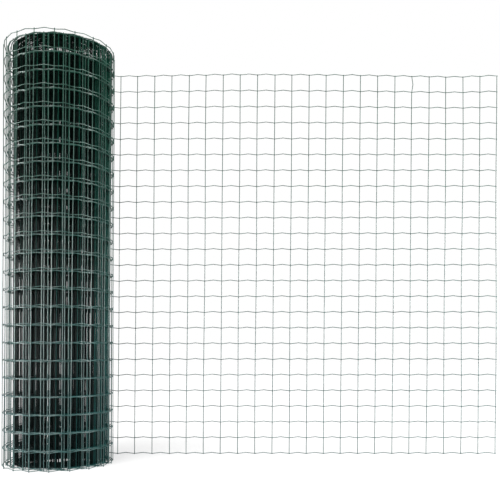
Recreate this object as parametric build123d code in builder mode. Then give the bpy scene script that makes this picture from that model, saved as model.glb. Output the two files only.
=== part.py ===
from build123d import *
import os
from math import floor, sqrt

# Roll of coated welded wire fencing, standing on one end, with its outer stretch unrolled.
# The coil's axis is Z and the origin lies on it at floor level.
# The flat stretch leaves the back of the coil on a tangent and runs along +X to its free end.

# Welded mesh
wire_diameter = 2.2
cell_height = 50.0
cell_width = 54.5
cells_high = 24
stay_overhang = 2.5
wire_sides = 6

# Coil: a loose outer turn, a second one inside it, and the packed turns down to the bore
outer_radius = 165.0
bore_radius = 32.0
outer_turn_gap = 8.0
second_turn_gap = 8.0
packed_turns = 40
turns_per_ring = 4
groove_steepness = 0.6

# Flat stretch, measured from the coil's axis to the closing stay wire
free_end_x = 1345.0
seat_clearance = 0.3

# Sizes that follow
wire_radius = wire_diameter / 2
sheet_thickness = 2 * wire_diameter
mesh_height = cells_high * cell_height + 2 * stay_overhang
flat_turn = 180 / wire_sides
line_wire_y = outer_radius - wire_diameter - wire_radius
stay_wire_y = outer_radius - wire_radius


def ring_radii():
    """Middle radius of each ring on the ends, from the bore outwards.

    The packed turns touch, so one ring stands for a few of them. The two loose turns have a ring each.
    """
    outer_turn = outer_radius - sheet_thickness / 2
    second_turn = outer_turn - sheet_thickness - outer_turn_gap
    packed_radius = second_turn - sheet_thickness / 2 - second_turn_gap
    packed_rings = packed_turns // turns_per_ring
    ring_width = (packed_radius - bore_radius) / packed_rings
    packed = [bore_radius + (ring + 0.5) * ring_width for ring in range(packed_rings)]
    return packed + [second_turn, outer_turn]


def end_relief():
    """Radius and depth of each point across one end: a crest on every ring, a groove between rings.

    The rims at the bore and at the outer face stay flat, as wide as the sheet is thick.
    """
    radii = ring_radii()
    points = [(bore_radius, 0), (bore_radius + sheet_thickness, 0)]
    for inner, outer in zip(radii, radii[1:]):
        points.append(((inner + outer) / 2, groove_steepness * (outer - inner)))
        points.append((outer, 0))
    points[-1] = (outer_radius - sheet_thickness, 0)
    points.append((outer_radius, 0))
    return points


# Wound part, one turned solid with its bore
with BuildPart() as mesh_coil:
    with BuildSketch(Plane.XZ):
        with BuildLine():
            bottom_end = [(radius, depth) for radius, depth in end_relief()]
            top_end = [(radius, mesh_height - depth) for radius, depth in reversed(end_relief())]
            Polyline(*bottom_end, *top_end, close=True)
        make_face()
    revolve(axis=Axis.Z)
mesh_coil.part.label = "mesh_coil"

# Where the flat stretch starts: its inner face clears the coil by the seat clearance
flat_start_x = sqrt((outer_radius + seat_clearance) ** 2 - (outer_radius - sheet_thickness) ** 2)
stay_count = 1 + floor((free_end_x - wire_radius - flat_start_x) / cell_width)
near_stay_count = stay_count // 2
far_stay_count = stay_count - near_stay_count
joint_x = free_end_x - (far_stay_count - 0.5) * cell_width


def flat_mesh(start_x, end_x, first_stay_x, stays):
    """Line wires from start_x to end_x, with stay wires welded across their outer side.

    The round wires are six-sided bars here, and two flat sides meet at each weld.
    """
    with BuildPart() as mesh:
        with BuildSketch(Plane.YZ.offset(start_x)):
            with Locations((line_wire_y, mesh_height / 2)):
                with GridLocations(cell_width, cell_height, 1, cells_high + 1):
                    RegularPolygon(wire_radius, wire_sides, major_radius=False, rotation=flat_turn)
        extrude(amount=end_x - start_x)
        with BuildSketch(Plane.XY):
            with Locations((first_stay_x + (stays - 1) * cell_width / 2, stay_wire_y)):
                with GridLocations(cell_width, cell_height, stays, 1):
                    RegularPolygon(wire_radius, wire_sides, major_radius=False, rotation=90 + flat_turn)
        extrude(amount=mesh_height)
    return mesh.part


# Flat stretch, in two halves that meet in the middle of a cell
near_first_stay_x = free_end_x - (stay_count - 1) * cell_width
far_first_stay_x = free_end_x - (far_stay_count - 1) * cell_width
flat_mesh_near_coil = flat_mesh(flat_start_x, joint_x, near_first_stay_x, near_stay_count)
flat_mesh_near_coil.label = "flat_mesh_near_coil"
flat_mesh_free_end = flat_mesh(joint_x, free_end_x + wire_radius, far_first_stay_x, far_stay_count)
flat_mesh_free_end.label = "flat_mesh_free_end"

os.makedirs("parts", exist_ok=True)
export_step(mesh_coil.part, "parts/mesh_coil.step")
export_step(flat_mesh_near_coil, "parts/flat_mesh_near_coil.step")
export_step(flat_mesh_free_end, "parts/flat_mesh_free_end.step")
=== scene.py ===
import math

import bpy
import numpy as np
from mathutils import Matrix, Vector


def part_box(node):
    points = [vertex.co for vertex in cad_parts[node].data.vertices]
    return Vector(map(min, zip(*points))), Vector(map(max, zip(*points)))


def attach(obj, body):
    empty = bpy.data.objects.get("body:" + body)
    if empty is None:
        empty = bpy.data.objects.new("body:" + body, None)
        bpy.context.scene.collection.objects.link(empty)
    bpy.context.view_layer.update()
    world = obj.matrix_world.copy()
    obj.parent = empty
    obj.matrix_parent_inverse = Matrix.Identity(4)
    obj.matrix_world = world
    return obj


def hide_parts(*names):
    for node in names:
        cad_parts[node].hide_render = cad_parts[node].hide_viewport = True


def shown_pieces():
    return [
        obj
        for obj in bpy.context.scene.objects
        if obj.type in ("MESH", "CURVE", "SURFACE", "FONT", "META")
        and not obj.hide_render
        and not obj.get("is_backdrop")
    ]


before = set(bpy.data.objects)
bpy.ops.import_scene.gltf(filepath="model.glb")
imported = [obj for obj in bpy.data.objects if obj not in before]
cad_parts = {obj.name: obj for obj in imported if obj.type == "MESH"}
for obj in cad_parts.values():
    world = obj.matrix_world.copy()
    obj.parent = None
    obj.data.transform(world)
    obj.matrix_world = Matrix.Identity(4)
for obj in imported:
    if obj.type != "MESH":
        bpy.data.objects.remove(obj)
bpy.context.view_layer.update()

# Roll of coated welded wire fencing, standing on end with its outer stretch unrolled, in metres.
# The whole length of mesh is one sheet, followed from its free end along the flat stretch and then
# round every turn of the coil down to the bore. A place on the sheet is (along, height), and
# place() bends it into space.

coil_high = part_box("mesh_coil")[1]
free_end_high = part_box("flat_mesh_free_end")[1]

# Welded mesh
WIRE_DIAMETER = 0.0022
WIRE_RADIUS = WIRE_DIAMETER / 2
CELL_HEIGHT = 0.050
CELL_WIDTH = 0.0545
STAY_OVERHANG = 0.0025
WELD_DEPTH = 0.12 * WIRE_DIAMETER
STAY_OFFSET = WIRE_DIAMETER - WELD_DEPTH
KNOT_WIDTH = 0.0019
KNOT_DEPTH = 0.0023
KNOT_CUT = 0.8

# Bend of a line wire in the middle of each cell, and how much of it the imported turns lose
CRIMP = 0.0032
CRIMP_POWER = 1.2
PACKED_CRIMP_LOSS = 0.6

MESH_HEIGHT = coil_high.z
ROWS = 1 + round((MESH_HEIGHT - 2 * STAY_OVERHANG) / CELL_HEIGHT)
LINE_Y = coil_high.y - WIRE_DIAMETER - WIRE_RADIUS
FREE_END_X = free_end_high.x - WIRE_RADIUS

# Coil: how far each turn's line wires lie inside a true circle, every 45 degrees from the back,
# by the left, the front and the right. The outer turn springs away where the flat stretch leaves.
BORE_RADIUS = 0.032
LOOSE_TURNS = (
    (0.0, -0.0355, 0.0145, -0.001, -0.0075, -0.003, 0.0061, 0.0046),
    (0.0106, 0.0136, 0.0176, 0.0176, 0.0191, 0.0146, 0.0111, 0.0121),
    (0.015, 0.0175, 0.0194, 0.0224, 0.0234, 0.0194, 0.0145, 0.016),
    (0.0164, 0.0221, 0.0311, 0.0271, 0.0251, 0.0201, 0.0149, 0.0169),
)
PACK_EDGE = (0.021, 0.029, 0.037, 0.034, 0.031, 0.025, 0.0175, 0.019)
PACKED_TURNS = 38
WINDING_POWER = 1.12
PATH_STEP = math.radians(1)
PATH_LEAD = 0.010
SMOOTHING = 45

# Lean of the whole roll to the right, and how far the top of the mesh is pulled along the sheet
LEAN = 0.0052 / MESH_HEIGHT
SLANT_ALONG = (0.0, 0.055, 0.11, 0.20, 1.20, 1.87, 2.40, 2.85)
SLANT = (0.0014, -0.0018, -0.0037, -0.0044, -0.0044, 0.0105, 0.002, 0.004)

# Wave of the top edge of the flat stretch
TOP_ALONG = (0.0, 0.134, 0.462, 0.842, 1.17, 1.40)
TOP_WAVE = (0.0, -0.0045, 0.001, 0.0027, -0.0024, 0.0)
TOP_DEPTH = 0.3

# How far the middle rows of the mesh hang below their even places
SAG_ALONG = (0.0, 0.9, 1.3, 1.7, 2.25, 2.55)
SAG = (0.002, 0.0021, 0.0036, 0.0, 0.0, 0.0042)

bpy.context.scene.view_settings.view_transform = "Standard"
rng = np.random.default_rng(4102)


def smooth(values, width):
    """Moving average of a list of values, with its ends kept."""
    padded = np.pad(values, width // 2, mode="edge")
    return np.convolve(padded, np.ones(width) / width, mode="same")[width // 2: -(width // 2)]


def coil_radii():
    """Angle from the back and radius of the line wires, every degree, for all the turns."""
    loose_turns = len(LOOSE_TURNS)
    turns = loose_turns + PACKED_TURNS
    angle = np.arange(0, 2 * math.pi * turns + PATH_STEP / 2, PATH_STEP)
    marks = np.arange(0, 8 * turns + 1)
    slack = np.array([*sum(LOOSE_TURNS, ()), *(PACK_EDGE * PACKED_TURNS), PACK_EDGE[0]])
    wound = np.clip((marks / 8 - loose_turns) / PACKED_TURNS, 0, 1) ** WINDING_POWER
    loose = LINE_Y - slack
    radius = loose + (BORE_RADIUS + WIRE_RADIUS - loose) * wound
    return angle, smooth(np.interp(angle, marks * math.pi / 4, radius), SMOOTHING)


def sheet_path():
    """Distance along the sheet from its free end, with the line wires' x, y and outward direction."""
    angle, radius = coil_radii()
    flat_x = np.linspace(FREE_END_X + PATH_LEAD, 0, 400)[:-1]
    x = np.r_[flat_x, -radius * np.sin(angle)]
    y = np.r_[np.full(len(flat_x), LINE_Y), radius * np.cos(angle)]
    along = np.r_[0, np.cumsum(np.hypot(np.diff(x), np.diff(y)))] - PATH_LEAD
    step_x = np.gradient(x, along)
    step_y = np.gradient(y, along)
    length = np.hypot(step_x, step_y)
    return along, x, y, step_y / length, -step_x / length


PATH, PATH_X, PATH_Y, OUT_X, OUT_Y = sheet_path()
STAYS = 1 + int(PATH[-1] / CELL_WIDTH - 0.3)
COIL_START = FREE_END_X
PACK_START = 5.0

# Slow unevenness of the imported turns: their slant, their creep along the sheet and their rise
PACK_EASE = 0.6
PACK_SLANT = 0.006
PACK_SLANT_WAVE = 0.27
PACK_CREEP = 0.021
PACK_CREEP_WAVE = 1.3
PACK_CREEP_PHASE = 3.76
PACK_RISE = 0.003
PACK_RISE_CHANGE = 0.0006
PACK_RISE_WAVE = 0.9

# How far the sheet stands out from its even path: ripples, a wave of the flat stretch, a wider top
LOOSE_RIPPLE = 0.0012
PACKED_RIPPLE = 0.0003
RIPPLE_WAVES = (0.041, 0.067)
RIPPLE_RISE = 0.21
RIPPLE_EASE = 0.3
FLAT_WAVE = 0.0015
FLAT_WAVE_ALONG = 0.19
FLAT_WAVE_UP = 0.3
FLARE = 0.0035
FLARE_EASE = 1.5

# Small unevenness of the stays: each one's own shift and bow
STAY_SHIFT = rng.normal(0, 0.0004, STAYS + 1)
STAY_BOW = rng.normal(0, 0.0006, STAYS + 1)
STAY_BOW[0] = 0.0012
PHASES = rng.uniform(0, 2 * math.pi, 5)

# One stay of the flat stretch is kinked in its top cell
KINKED_STAY = 5
KINK_HEIGHT = MESH_HEIGHT - STAY_OVERHANG - CELL_HEIGHT / 2
KINK = 0.004
KINK_CELLS = 0.3
KINK_SPREAD = 0.015


def ease(along, start, length):
    """A share that grows from 0 at a start along the sheet to 1 after this length."""
    return np.clip((along - start) / length, 0, 1)


def slant(along, height):
    """How far along the sheet a place has moved from its cell's true place."""
    level = height / MESH_HEIGHT - 0.5
    packed = ease(along, PACK_START, PACK_EASE)
    pull = np.interp(along, SLANT_ALONG, SLANT, right=0.0)
    pull = pull + PACK_SLANT * np.sin(along / PACK_SLANT_WAVE + PHASES[0]) * packed
    creep = PACK_CREEP * np.sin(along / PACK_CREEP_WAVE + PACK_CREEP_PHASE) * packed
    stay = along / CELL_WIDTH
    own = np.interp(stay, np.arange(STAYS + 1), STAY_SHIFT)
    bow = np.interp(stay, np.arange(STAYS + 1), STAY_BOW) * np.sin(3 * math.pi * level + stay)
    sideways = (stay - KINKED_STAY) / KINK_CELLS
    upwards = (height - KINK_HEIGHT) / KINK_SPREAD
    kink = KINK * np.exp(-sideways ** 2 - upwards ** 2)
    return pull * level + creep + own + bow - kink


def lift(along, height):
    """How far a place is lifted: waves of the top edge, and turns that stand a little proud."""
    level = height / MESH_HEIGHT
    near_top = np.clip(1 - (MESH_HEIGHT - height) / TOP_DEPTH, 0, 1) ** 1.5
    top_edge = np.interp(along, TOP_ALONG, TOP_WAVE) * near_top
    sag = np.interp(along, SAG_ALONG, SAG) * np.sin(math.pi * level)
    rise = PACK_RISE + PACK_RISE_CHANGE * np.sin(along / PACK_RISE_WAVE + PHASES[1])
    telescope = ease(along, PACK_START, PACK_EASE) * rise
    return top_edge - sag + telescope


def bulge(along, height):
    """How far a place stands out from the even path: slow waves, and the coil's wider top."""
    loose = ease(along, COIL_START + 0.1, RIPPLE_EASE)
    pressed = ease(along, COIL_START + 1.9, RIPPLE_EASE)
    size = LOOSE_RIPPLE * loose - (LOOSE_RIPPLE - PACKED_RIPPLE) * pressed
    short = np.sin(along / RIPPLE_WAVES[0] + PHASES[2])
    long = np.sin(along / RIPPLE_WAVES[1] + height / RIPPLE_RISE + PHASES[3])
    wave = np.sin(along / FLAT_WAVE_ALONG + PHASES[4]) * np.sin(height / FLAT_WAVE_UP)
    flat = FLAT_WAVE * wave * (1 - loose)
    flare = FLARE * (height / MESH_HEIGHT) ** 2 * ease(along, COIL_START + 1.5, FLARE_EASE)
    return size * (short + long) / 2 + flat + flare


def place(along, height, out=0.0):
    """Points in space for places on the sheet, moved outwards by out, with the outward direction."""
    s = along + slant(along, height)
    out_x = np.interp(s, PATH, OUT_X)
    out_y = np.interp(s, PATH, OUT_Y)
    reach = out + bulge(along, height)
    x = np.interp(s, PATH, PATH_X) + reach * out_x
    y = np.interp(s, PATH, PATH_Y) + reach * out_y
    z = height + lift(along, height)
    leaning = x + LEAN * (z - MESH_HEIGHT / 2)
    return np.stack((leaning, y, z), axis=-1), np.stack((out_x, out_y, np.zeros_like(s)), axis=-1)


def crimp(along):
    """Rise of a line wire between its stays: a bend in the middle of each cell, with nearly straight sides.

    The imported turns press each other's bends flatter.
    """
    cell = np.mod(along / CELL_WIDTH, 1.0)
    depth = CRIMP * (1 - PACKED_CRIMP_LOSS * ease(along, PACK_START, PACK_EASE))
    return depth * (1 - np.abs(2 * cell - 1)) ** CRIMP_POWER


def tubes(points, first, second, sides, radius):
    """Round closed wires: points is (wires, stations, 3), first and second span each ring's plane."""
    wires, stations = points.shape[:2]
    turn = np.arange(sides) * 2 * math.pi / sides
    ring = np.cos(turn)[:, None] * first[:, :, None, :] + np.sin(turn)[:, None] * second[:, :, None, :]
    vertices = (points[:, :, None, :] + radius * ring).reshape(-1, 3)
    number = np.arange(wires * stations * sides).reshape(wires, stations, sides)
    here = number[:, :-1]
    beyond = number[:, 1:]
    quads = np.stack((here, np.roll(here, -1, 2), np.roll(beyond, -1, 2), beyond), axis=-1)
    ends = np.concatenate((number[:, 0, ::-1], number[:, -1]))
    return vertices, [quads.reshape(-1, 4), ends]


def line_wires(start, end, steps, sides):
    """Line wires from one place along the sheet to another, counted in cells."""
    count = round((end - start) * steps) + 1
    along = np.tile(np.linspace(start, end, count) * CELL_WIDTH, (ROWS, 1))
    row = STAY_OVERHANG + CELL_HEIGHT * np.arange(ROWS)[:, None]
    points, outward = place(along, row + crimp(along))
    upward = np.zeros_like(outward)
    upward[..., 2] = 1
    return tubes(points, outward, upward, sides, WIRE_RADIUS)


def stay_wires(first, last, steps, sides):
    """Stay wires from the first to the last of these numbers, welded outside the line wires."""
    count = (ROWS - 1) * steps + 3
    inner = STAY_OVERHANG + CELL_HEIGHT * np.arange(count - 2) / steps
    height = np.tile(np.r_[0, inner, MESH_HEIGHT], (last - first + 1, 1))
    along = np.repeat(np.arange(first, last + 1)[:, None] * CELL_WIDTH, count, axis=1)
    points, outward = place(along, height, STAY_OFFSET)
    sideways = np.stack((-outward[..., 1], outward[..., 0], np.zeros(outward.shape[:2])), axis=-1)
    return tubes(points, sideways, outward, sides, WIRE_RADIUS)


def welds(first, last, sides, rings):
    """A small rounded knot of coating at every crossing of these stays."""
    along = np.repeat(np.arange(first, last + 1) * CELL_WIDTH, ROWS)
    height = np.tile(STAY_OVERHANG + CELL_HEIGHT * np.arange(ROWS), last - first + 1)
    centre, outward = place(along, height, STAY_OFFSET / 2)
    sideways = np.stack((-outward[:, 1], outward[:, 0], np.zeros(len(outward))), axis=-1)
    level = np.linspace(-KNOT_CUT, KNOT_CUT, rings)
    width = KNOT_WIDTH * np.sqrt(1 - level ** 2)
    depth = KNOT_DEPTH * level
    turn = np.arange(sides) * 2 * math.pi / sides
    flat_ring = np.cos(turn)[:, None] * sideways[:, None, :]
    ring = flat_ring + np.sin(turn)[:, None] * np.array((0, 0, 1.0))
    knot = width[:, None, None] * ring[:, None] + depth[:, None, None] * outward[:, None, None, :]
    vertices = (centre[:, None, None, :] + knot).reshape(-1, 3)
    number = np.arange(len(centre) * rings * sides).reshape(len(centre), rings, sides)
    here = number[:, :-1]
    beyond = number[:, 1:]
    quads = np.stack((here, beyond, np.roll(beyond, -1, 2), np.roll(here, -1, 2)), axis=-1)
    ends = np.concatenate((number[:, 0], number[:, -1, ::-1]))
    return vertices, [quads.reshape(-1, 4), ends]


def join(name, groups, material):
    """One mesh object from groups of vertices and faces."""
    vertices = np.concatenate([group[0] for group in groups])
    corners = []
    sizes = []
    smooth_faces = []
    base = 0
    for points, (quads, ends) in groups:
        for faces, rounded in ((quads, True), (ends, False)):
            corners.append((faces + base).ravel())
            sizes.append(np.full(len(faces), faces.shape[1]))
            smooth_faces.append(np.full(len(faces), rounded))
        base += len(points)
    corners = np.concatenate(corners)
    sizes = np.concatenate(sizes)
    mesh = bpy.data.meshes.new(name)
    mesh.vertices.add(len(vertices))
    mesh.vertices.foreach_set("co", vertices.astype(np.float32).ravel())
    mesh.loops.add(len(corners))
    mesh.loops.foreach_set("vertex_index", corners.astype(np.int32))
    mesh.polygons.add(len(sizes))
    mesh.polygons.foreach_set("loop_start", (np.cumsum(sizes) - sizes).astype(np.int32))
    mesh.polygons.foreach_set("loop_total", sizes.astype(np.int32))
    mesh.polygons.foreach_set("use_smooth", np.concatenate(smooth_faces))
    mesh.update(calc_edges=True)
    mesh.validate()
    mesh.materials.append(material)
    piece = bpy.data.objects.new(name, mesh)
    bpy.context.scene.collection.objects.link(piece)
    return piece


# Painted shade between the imported turns: within this distance of the axis the coating's colour is scaled
# down to this share, standing in for the shadow deep in the coil, and the imported turns get the same share
# of its gloss
PACK_RADIUS = 0.136
SHADE_EDGE = 0.006
DEEP_SHADE = 0.12

# Coating
# The low colour is bluer and a little lighter than the high one: painted light, standing in for the
# brighter, bluer light on the lower wires
LOW_COLOUR = (0.012, 0.075, 0.070, 1)
HIGH_COLOUR = (0.008, 0.068, 0.044, 1)
GLOSS = 0.9
COAT = 0.5


def node(tree, kind, x, y, **values):
    """A shader node with its input values set."""
    made = tree.nodes.new(kind)
    made.location = (x, y)
    for key, value in values.items():
        made.inputs[key.replace("_", " ")].default_value = value
    return made


def coating_material(name, shine):
    """Dark green plastic coating: painted light makes it bluer and a little lighter towards the bottom;
    mottled, satin, with a fine orange peel.

    Painted shade darkens it towards the coil's axis. Shine is the share of the full gloss, lowered for a
    shaded copy.
    """
    material = bpy.data.materials.new(name)
    material.use_nodes = True
    tree = material.node_tree
    tree.nodes.clear()
    link = tree.links.new
    output = node(tree, "ShaderNodeOutputMaterial", 900, 0)
    shader = node(tree, "ShaderNodeBsdfPrincipled", 600, 0)
    shader.inputs["IOR"].default_value = 1.5
    # A shine below 1 paints shade: lower gloss and coat for the shaded copy of the coating
    shader.inputs["Specular IOR Level"].default_value = GLOSS * shine
    shader.inputs["Coat Weight"].default_value = COAT * shine
    shader.inputs["Coat Roughness"].default_value = 0.2
    place_on = node(tree, "ShaderNodeTexCoord", -900, 0)
    parts = node(tree, "ShaderNodeSeparateXYZ", -700, -200)
    link(place_on.outputs["Object"], parts.inputs["Vector"])
    # Painted shade: within PACK_RADIUS of the coil's axis the colour falls to DEEP_SHADE of itself, over
    # SHADE_EDGE
    across = node(tree, "ShaderNodeCombineXYZ", -500, -600)
    link(parts.outputs["X"], across.inputs["X"])
    link(parts.outputs["Y"], across.inputs["Y"])
    radius = node(tree, "ShaderNodeVectorMath", -350, -600)
    radius.operation = "LENGTH"
    link(across.outputs["Vector"], radius.inputs[0])
    depth = node(tree, "ShaderNodeMapRange", -200, -600)
    depth.inputs["From Min"].default_value = PACK_RADIUS - SHADE_EDGE
    depth.inputs["From Max"].default_value = PACK_RADIUS
    depth.inputs["To Min"].default_value = DEEP_SHADE
    link(radius.outputs["Value"], depth.inputs["Value"])
    # Painted light: the colour shifts from LOW_COLOUR at the bottom to HIGH_COLOUR at the top
    painted_light_by_height = node(tree, "ShaderNodeMapRange", -500, -200)
    painted_light_by_height.inputs["From Min"].default_value = 0.2
    painted_light_by_height.inputs["From Max"].default_value = 1.1
    link(parts.outputs["Z"], painted_light_by_height.inputs["Value"])
    base = node(tree, "ShaderNodeMix", -250, 0)
    base.data_type = "RGBA"
    base.inputs["A"].default_value = LOW_COLOUR
    base.inputs["B"].default_value = HIGH_COLOUR
    link(painted_light_by_height.outputs["Result"], base.inputs["Factor"])
    mottle = node(tree, "ShaderNodeTexNoise", -700, 200, Scale=35.0, Detail=4.0, Roughness=0.6)
    link(place_on.outputs["Object"], mottle.inputs["Vector"])
    shade = node(tree, "ShaderNodeMapRange", -450, 250)
    shade.inputs["From Min"].default_value = 0.3
    shade.inputs["From Max"].default_value = 0.7
    shade.inputs["To Min"].default_value = 0.75
    shade.inputs["To Max"].default_value = 1.25
    link(mottle.outputs["Fac"], shade.inputs["Value"])
    colour = node(tree, "ShaderNodeVectorMath", 0, 100)
    colour.operation = "SCALE"
    link(base.outputs["Result"], colour.inputs["Vector"])
    shaded = node(tree, "ShaderNodeMath", -150, 250)
    shaded.operation = "MULTIPLY"
    link(shade.outputs["Result"], shaded.inputs[0])
    link(depth.outputs["Result"], shaded.inputs[1])
    link(shaded.outputs["Value"], colour.inputs["Scale"])
    link(colour.outputs["Vector"], shader.inputs["Base Color"])
    gloss = node(tree, "ShaderNodeMapRange", 0, -150)
    gloss.inputs["To Min"].default_value = 0.30
    gloss.inputs["To Max"].default_value = 0.48
    link(mottle.outputs["Fac"], gloss.inputs["Value"])
    link(gloss.outputs["Result"], shader.inputs["Roughness"])
    peel = node(tree, "ShaderNodeTexNoise", -250, -400, Scale=900.0, Detail=3.0, Roughness=0.5)
    link(place_on.outputs["Object"], peel.inputs["Vector"])
    bump = node(tree, "ShaderNodeBump", 250, -350, Strength=0.35, Distance=0.0002)
    link(peel.outputs["Fac"], bump.inputs["Height"])
    link(bump.outputs["Normal"], shader.inputs["Normal"])
    link(shader.outputs["BSDF"], output.inputs["Surface"])
    return material


def seen_white(tree):
    """A value of 1 for rays straight from the camera, and 0 for the rest."""
    path = node(tree, "ShaderNodeLightPath", -800, 300)
    return path.outputs["Is Camera Ray"]


def white_world(strength):
    """Even white surroundings: plain white to the eye, and soft light of this strength on the object."""
    world = bpy.data.worlds.new("white_studio")
    bpy.context.scene.world = world
    world.use_nodes = True
    tree = world.node_tree
    tree.nodes.clear()
    output = node(tree, "ShaderNodeOutputWorld", 400, 0)
    light = node(tree, "ShaderNodeBackground", 0, -100, Strength=strength)
    backdrop = node(tree, "ShaderNodeBackground", 0, 100, Strength=1.0)
    light.inputs["Color"].default_value = (1, 1, 1, 1)
    backdrop.inputs["Color"].default_value = (1, 1, 1, 1)
    mix = node(tree, "ShaderNodeMixShader", 200, 0)
    tree.links.new(seen_white(tree), mix.inputs["Fac"])
    tree.links.new(light.outputs["Background"], mix.inputs[1])
    tree.links.new(backdrop.outputs["Background"], mix.inputs[2])
    tree.links.new(mix.outputs["Shader"], output.inputs["Surface"])


def white_floor(half_width, shadow):
    """A white floor that keeps this share of the object's shadow."""
    mesh = bpy.data.meshes.new("floor")
    corners = [(-1, -1), (1, -1), (1, 1), (-1, 1)]
    mesh.from_pydata([(x * half_width, y * half_width, 0) for x, y in corners], [], [(0, 1, 2, 3)])
    floor = bpy.data.objects.new("floor", mesh)
    bpy.context.scene.collection.objects.link(floor)
    material = bpy.data.materials.new("white_floor")
    material.use_nodes = True
    tree = material.node_tree
    tree.nodes.clear()
    output = node(tree, "ShaderNodeOutputMaterial", 600, 0)
    matt = node(tree, "ShaderNodeBsdfDiffuse", 0, -100)
    shade = node(tree, "ShaderNodeMix", -250, -100)
    shade.data_type = "RGBA"
    shade.inputs["A"].default_value = (0.25, 0.25, 0.25, 1)
    shade.inputs["B"].default_value = (0.95, 0.95, 0.95, 1)
    tree.links.new(seen_white(tree), shade.inputs["Factor"])
    tree.links.new(shade.outputs["Result"], matt.inputs["Color"])
    glow = node(tree, "ShaderNodeEmission", 0, 100, Strength=1.0)
    seen = node(tree, "ShaderNodeMath", 0, 300)
    seen.operation = "MULTIPLY"
    seen.inputs[1].default_value = 1 - shadow
    tree.links.new(seen_white(tree), seen.inputs[0])
    mix = node(tree, "ShaderNodeMixShader", 300, 0)
    tree.links.new(seen.outputs["Value"], mix.inputs["Fac"])
    tree.links.new(matt.outputs["BSDF"], mix.inputs[1])
    tree.links.new(glow.outputs["Emission"], mix.inputs[2])
    tree.links.new(mix.outputs["Shader"], output.inputs["Surface"])
    mesh.materials.append(material)
    floor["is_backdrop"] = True


def soft_lamp(name, position, target, size, power):
    """A square soft lamp that faces a point."""
    data = bpy.data.lights.new(name, "AREA")
    data.shape = "SQUARE"
    data.size = size
    data.energy = power
    lamp = bpy.data.objects.new(name, data)
    lamp.location = position
    direction = Vector(target) - Vector(position)
    lamp.rotation_mode = "QUATERNION"
    lamp.rotation_quaternion = direction.to_track_quat("-Z", "Y")
    bpy.context.scene.collection.objects.link(lamp)


def soft_sun(name, towards, spread, strength):
    """A soft even light from one direction, so many degrees wide."""
    data = bpy.data.lights.new(name, "SUN")
    data.energy = strength
    data.angle = math.radians(spread)
    lamp = bpy.data.objects.new(name, data)
    lamp.location = towards
    lamp.rotation_mode = "QUATERNION"
    lamp.rotation_quaternion = (-Vector(towards)).to_track_quat("-Z", "Y")
    bpy.context.scene.collection.objects.link(lamp)


def camera(position, lens, sensor_width, rise):
    """A level camera that looks along +Y, with its frame raised by a shift."""
    data = bpy.data.cameras.new("camera")
    data.lens = lens
    data.sensor_width = sensor_width
    data.shift_y = rise
    eye = bpy.data.objects.new("camera", data)
    eye.location = position
    eye.rotation_euler = (math.radians(90), 0, 0)
    bpy.context.scene.collection.objects.link(eye)
    bpy.context.scene.camera = eye


def stretch(name, first, last, steps, sides, knot, material, start=None, end=None, stay_steps=1):
    """A piece of the mesh with its stays from first to last, cut half a cell beyond them.

    Steps and stay_steps are the line wires' and the stays' segments in a cell.
    """
    start = first - 0.5 if start is None else start
    end = last + 0.5 if end is None else end
    groups = [
        line_wires(start, end, steps, sides),
        stay_wires(first, last, stay_steps, sides),
        welds(first, last, *knot),
    ]
    piece = join(name, groups, material)
    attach(piece, "root")
    return piece


green = coating_material("green_plastic_coating", 1.0)
# Shaded copy of the coating with painted shade, darker and less glossy, for the imported turns
shaded_green = coating_material("green_plastic_coating_in_shade", DEEP_SHADE)

# The sheet's stays are numbered from the free end
FLAT_LAST = int(COIL_START / CELL_WIDTH)
OUTER_LAST = FLAT_LAST + 19
SECOND_LAST = OUTER_LAST + 17
FOURTH_LAST = SECOND_LAST + 33

# Segments of a line wire in a cell, sides of a wire, and sides and rings of a weld knot: the
# flat stretch and the outer turns have the finest wires
FINE = (8, 8, (8, 4))
MIDDLE = (6, 6, (4, 2))
PLAIN = (4, 5, (4, 2))
PLAINEST = (4, 4, (4, 2))

flat = stretch("unrolled_mesh", 0, FLAT_LAST, *FINE, green, start=0, stay_steps=2)
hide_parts("flat_mesh_near_coil", "flat_mesh_free_end")
coil = [
    stretch("outer_turn", FLAT_LAST + 1, OUTER_LAST, *FINE, green, stay_steps=2),
    stretch("second_turn", OUTER_LAST + 1, SECOND_LAST, *FINE, green, stay_steps=2),
    stretch("third_and_fourth_turns", SECOND_LAST + 1, FOURTH_LAST, *MIDDLE, green),
]
packed_pieces = 4
cuts = np.linspace(FOURTH_LAST, STAYS - 1, packed_pieces + 1).astype(int)
for number, (before, last) in enumerate(zip(cuts, cuts[1:]), 1):
    inner_end = PATH[-1] / CELL_WIDTH if number == packed_pieces else None
    detail = PLAIN if number <= packed_pieces / 2 else PLAINEST
    name = f"packed_turns_{number}"
    coil.append(stretch(name, before + 1, last, *detail, shaded_green, end=inner_end))
for piece in coil:
    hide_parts("mesh_coil")

# Light: a dim even world, a high soft sun, and a large soft lamp on either side
white_world(strength=0.2)
white_floor(half_width=12.0, shadow=0.3)
soft_sun("sky", (-0.5, -1.0, 2.2), spread=30, strength=3.4)
soft_lamp("left", (-3.2, -0.8, 0.6), (0, 0, 0.5), size=1.6, power=192)
soft_lamp("right", (3.4, -1.0, 0.5), (0, 0, 0.5), size=1.6, power=182)

# Camera fitted to the photo, with a focal length of 696 pixels in its 500
camera((0.5625, -2.051, 0.341), lens=50.112, sensor_width=36.0, rise=0.1937)

triangles = {}
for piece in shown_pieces():
    piece.data.calc_loop_triangles()
    triangles[piece.name] = len(piece.data.loop_triangles)
print("triangles", triangles, sum(triangles.values()))
